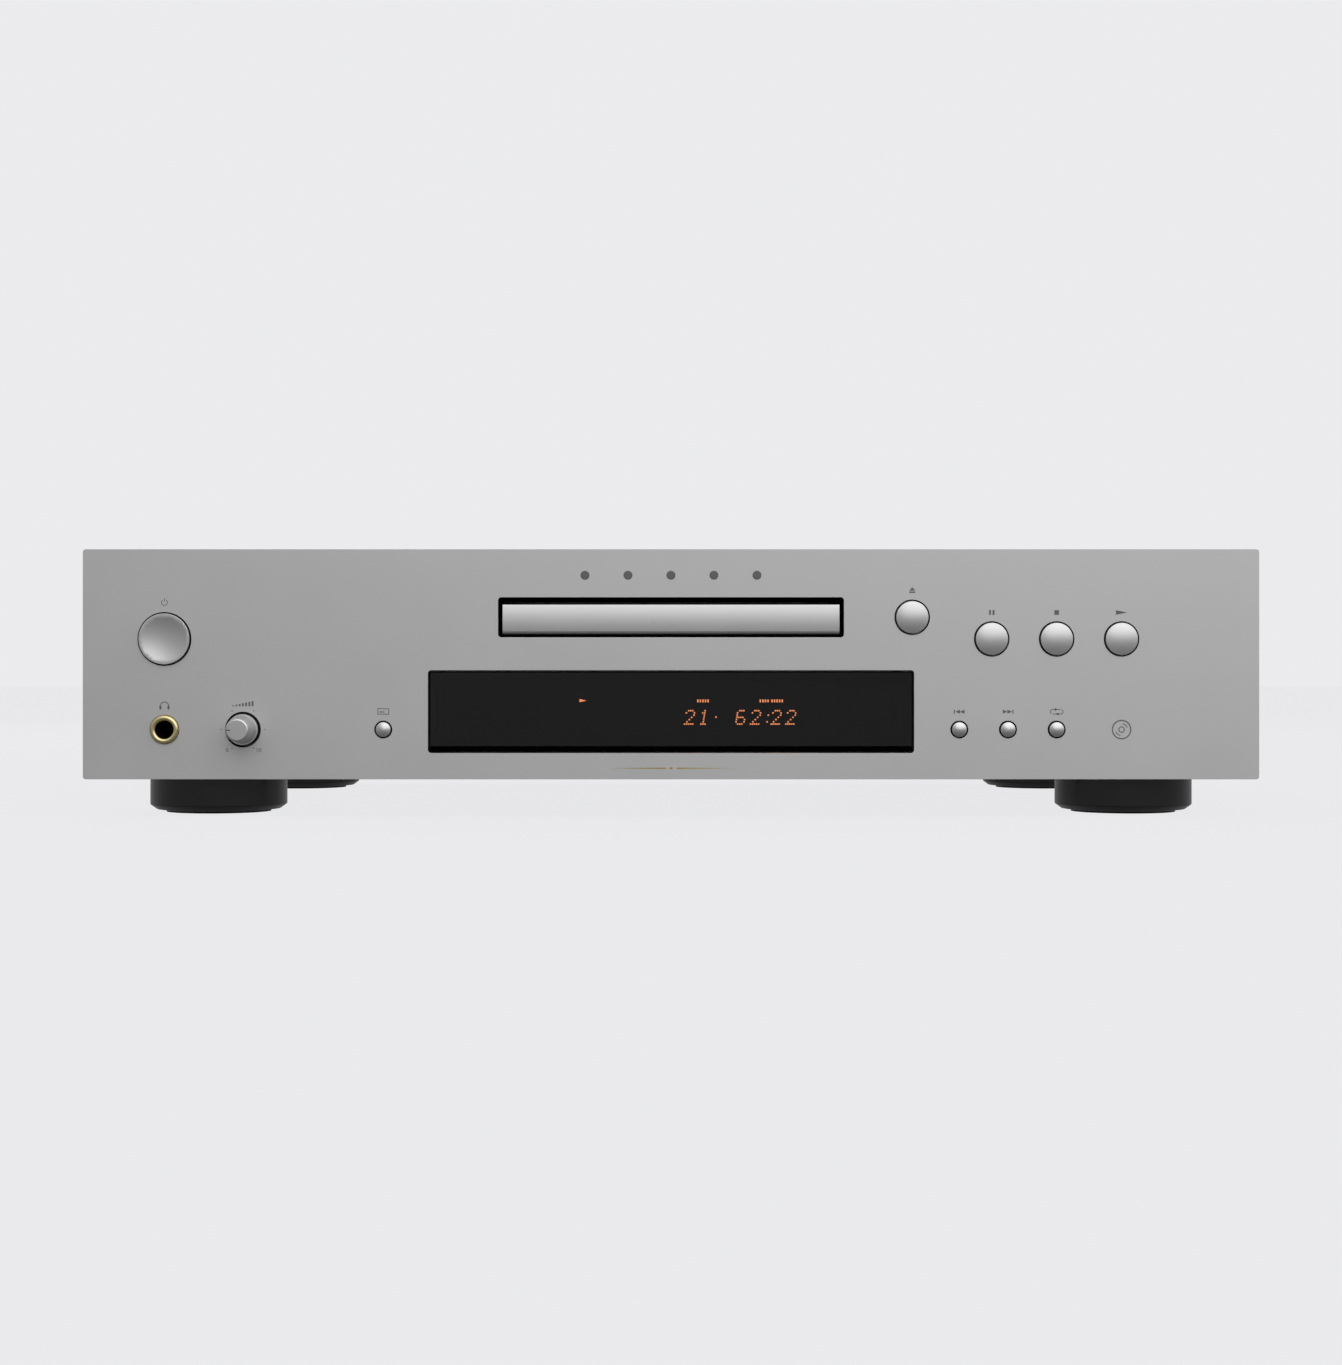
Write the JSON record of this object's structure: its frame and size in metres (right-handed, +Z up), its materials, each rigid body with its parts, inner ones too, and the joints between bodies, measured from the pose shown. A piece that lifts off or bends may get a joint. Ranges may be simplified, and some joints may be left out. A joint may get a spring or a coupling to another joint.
{
  "type": "compact-disc player",
  "caption": "Full-width hi-fi disc player: aluminium front with drawer, display window, round buttons and level knob, folded steel cabinet, round feet and rear sockets.",
  "frame": {"origin": "under the middle of the whole object, on the plane its foot pads stand on", "axes": "+X across to the right as seen from the front, +Y from the front panel to the back, +Z up"},
  "size_m": [0.435, 0.307, 0.0992],
  "materials": {
    "satin_aluminium": "fine satin, anodised",
    "black_moulding": "matte moulded",
    "smoked_acrylic": "polished, smoked",
    "display_glass": "polished",
    "circuit_board": "solder mask",
    "switch_plastic": "moulded",
    "sensor_resin": "cast resin",
    "knob_aluminium": "turned, satin",
    "plated_steel": "plated",
    "control_can": "pressed",
    "gold_plate": "gold plated",
    "socket_plastic": "moulded",
    "zinc_steel": "zinc plated",
    "black_steel": "fine powder coat",
    "painted_cover": "satin paint",
    "felt_pad": "soft foam rubber",
    "screw_steel": "zinc plated",
    "screw_black": "blackened",
    "loader_plastic": "moulded",
    "tray_plastic": "fine grain",
    "door_aluminium": "satin, anodised",
    "gear_plastic": "acetal",
    "turntable_plastic": "moulded",
    "motor_can": "drawn can",
    "pickup_plastic": "glass filled",
    "lens_glass": "coated",
    "rod_steel": "ground",
    "belt_rubber": "moulded",
    "transformer_steel": "varnished laminations",
    "foot_plastic": "satin moulded",
    "button_silver": "satin silver plated"
  },
  "bodies": {
    "root": {"front_panel": "satin_aluminium", "front_carrier": "black_moulding", "tray_bezel": "black_moulding", "display_window": "smoked_acrylic", "display_module": "display_glass", "front_board": "circuit_board", "front_switches": "switch_plastic", "remote_sensor": "sensor_resin", "level_potentiometer": "control_can", "phones_ring": "gold_plate", "phones_jack": "socket_plastic", "phones_board": "circuit_board", "bottom_chassis": "zinc_steel", "rear_panel": "black_steel", "top_cover": "painted_cover", "foot_front_left": "foot_plastic", "foot_front_right": "foot_plastic", "foot_rear_left": "foot_plastic", "foot_rear_right": "foot_plastic", "foot_pads": "felt_pad", "foot_screws": "screw_steel", "cover_screws": "screw_black", "chassis_screws": "screw_steel", "loader_frame": "loader_plastic", "clamper_bridge": "zinc_steel", "loading_motor": "motor_can", "drive_belt": "belt_rubber", "power_transformer": "transformer_steel", "power_board": "circuit_board", "audio_board": "circuit_board", "output_sockets": "socket_plastic", "digital_sockets": "socket_plastic", "remote_sockets": "socket_plastic", "mains_inlet": "socket_plastic"},
    "drawer": {"disc_tray": "tray_plastic", "tray_door": "door_aluminium"},
    "drawer_gear": {"tray_gear": "gear_plastic"},
    "belt_gear": {"pulley_gear": "gear_plastic"},
    "motor_rotor": {"motor_pulley": "gear_plastic"},
    "traverse": {"traverse_base": "zinc_steel", "spindle_motor": "motor_can", "guide_rods": "rod_steel", "sled_motor": "motor_can"},
    "cam": {"lift_cam": "gear_plastic"},
    "spindle": {"turntable": "turntable_plastic"},
    "clamp": {"clamper": "turntable_plastic"},
    "sled": {"pickup": "pickup_plastic"},
    "sled_drive": {"sled_gear": "gear_plastic"},
    "lens": {"pickup_lens": "lens_glass"},
    "knob": {"level_knob": "knob_aluminium", "level_shaft": "plated_steel"},
    "power": {"power_button": "button_silver"},
    "eject": {"eject_button": "button_silver"},
    "pause": {"pause_button": "button_silver"},
    "stop": {"stop_button": "button_silver"},
    "play": {"play_button": "button_silver"},
    "previous": {"previous_button": "button_silver"},
    "next": {"next_button": "button_silver"},
    "repeat": {"repeat_button": "button_silver"},
    "display": {"display_button": "button_silver"}
  },
  "joints": [
    {"name": "drawer_slide", "type": "slide", "parent": "root", "child": "drawer", "axis": [0, -1, 0], "range_m": [0, 0.13]},
    {"name": "drawer_gear_turn", "type": "hinge", "parent": "root", "child": "drawer_gear", "pos_m": [-0.04605, -0.108, 0.065], "axis": [0, 0, 1], "range_deg": [-5, 940]},
    {"name": "belt_gear_turn", "type": "hinge", "parent": "root", "child": "belt_gear", "pos_m": [-0.02905, -0.108, 0.065], "axis": [0, 0, 1], "range_deg": [-2245, 5]},
    {"name": "motor_turn", "type": "hinge", "parent": "root", "child": "motor_rotor", "pos_m": [0.022, -0.108, 0.065], "axis": [0, 0, 1], "range_deg": [-5280, 5]},
    {"name": "traverse_lift", "type": "slide", "parent": "root", "child": "traverse", "axis": [0, 0, 1], "range_m": [0, 0.007]},
    {"name": "cam_slide", "type": "slide", "parent": "root", "child": "cam", "axis": [1, 0, 0], "range_m": [0, 0.0101]},
    {"name": "spindle_turn", "type": "hinge", "parent": "traverse", "child": "spindle", "pos_m": [0, -0.0735, 0.07], "axis": [0, 0, 1], "continuous": true},
    {"name": "clamper_turn", "type": "hinge", "parent": "root", "child": "clamp", "pos_m": [0, -0.0735, 0.08], "axis": [0, 0, 1], "continuous": true},
    {"name": "pickup_slide", "type": "slide", "parent": "traverse", "child": "sled", "axis": [0, 1, 0], "range_m": [0, 0.034]},
    {"name": "sled_gear_turn", "type": "hinge", "parent": "traverse", "child": "sled_drive", "pos_m": [0.025, -0.0215, 0.06], "axis": [0, 0, 1], "range_deg": [-330, 5]},
    {"name": "lens_focus", "type": "slide", "parent": "sled", "child": "lens", "axis": [0, 0, 1], "range_m": [-0.0004, 0.0004], "stiffness_N_per_m": 20},
    {"name": "power_press", "type": "slide", "parent": "root", "child": "power", "axis": [0, 1, 0], "range_m": [0, 0.0025], "stiffness_N_per_m": 400, "springref_m": -0.002},
    {"name": "eject_press", "type": "slide", "parent": "root", "child": "eject", "axis": [0, 1, 0], "range_m": [0, 0.0008], "stiffness_N_per_m": 600, "springref_m": -0.001},
    {"name": "pause_press", "type": "slide", "parent": "root", "child": "pause", "axis": [0, 1, 0], "range_m": [0, 0.0008], "stiffness_N_per_m": 600, "springref_m": -0.001},
    {"name": "stop_press", "type": "slide", "parent": "root", "child": "stop", "axis": [0, 1, 0], "range_m": [0, 0.0008], "stiffness_N_per_m": 600, "springref_m": -0.001},
    {"name": "play_press", "type": "slide", "parent": "root", "child": "play", "axis": [0, 1, 0], "range_m": [0, 0.0008], "stiffness_N_per_m": 600, "springref_m": -0.001},
    {"name": "previous_press", "type": "slide", "parent": "root", "child": "previous", "axis": [0, 1, 0], "range_m": [0, 0.0008], "stiffness_N_per_m": 600, "springref_m": -0.001},
    {"name": "next_press", "type": "slide", "parent": "root", "child": "next", "axis": [0, 1, 0], "range_m": [0, 0.0008], "stiffness_N_per_m": 600, "springref_m": -0.001},
    {"name": "repeat_press", "type": "slide", "parent": "root", "child": "repeat", "axis": [0, 1, 0], "range_m": [0, 0.0008], "stiffness_N_per_m": 600, "springref_m": -0.001},
    {"name": "display_press", "type": "slide", "parent": "root", "child": "display", "axis": [0, 1, 0], "range_m": [0, 0.0008], "stiffness_N_per_m": 600, "springref_m": -0.001},
    {"name": "level_turn", "type": "hinge", "parent": "root", "child": "knob", "pos_m": [-0.1583, -0.1411, 0.0325], "axis": [0, 1, 0], "range_deg": [-60, 240]}
  ],
  "couplings": [
    {"joint": "drawer_gear_turn", "follows": "drawer_slide", "rad_per_m": 125},
    {"joint": "belt_gear_turn", "follows": "drawer_slide", "rad_per_m": -300},
    {"joint": "motor_turn", "follows": "drawer_slide", "rad_per_m": -707.14},
    {"joint": "cam_slide", "follows": "traverse_lift", "ratio": 1.4286},
    {"joint": "clamper_turn", "follows": "spindle_turn", "ratio": 1},
    {"joint": "sled_gear_turn", "follows": "pickup_slide", "rad_per_m": -166.67}
  ]
}
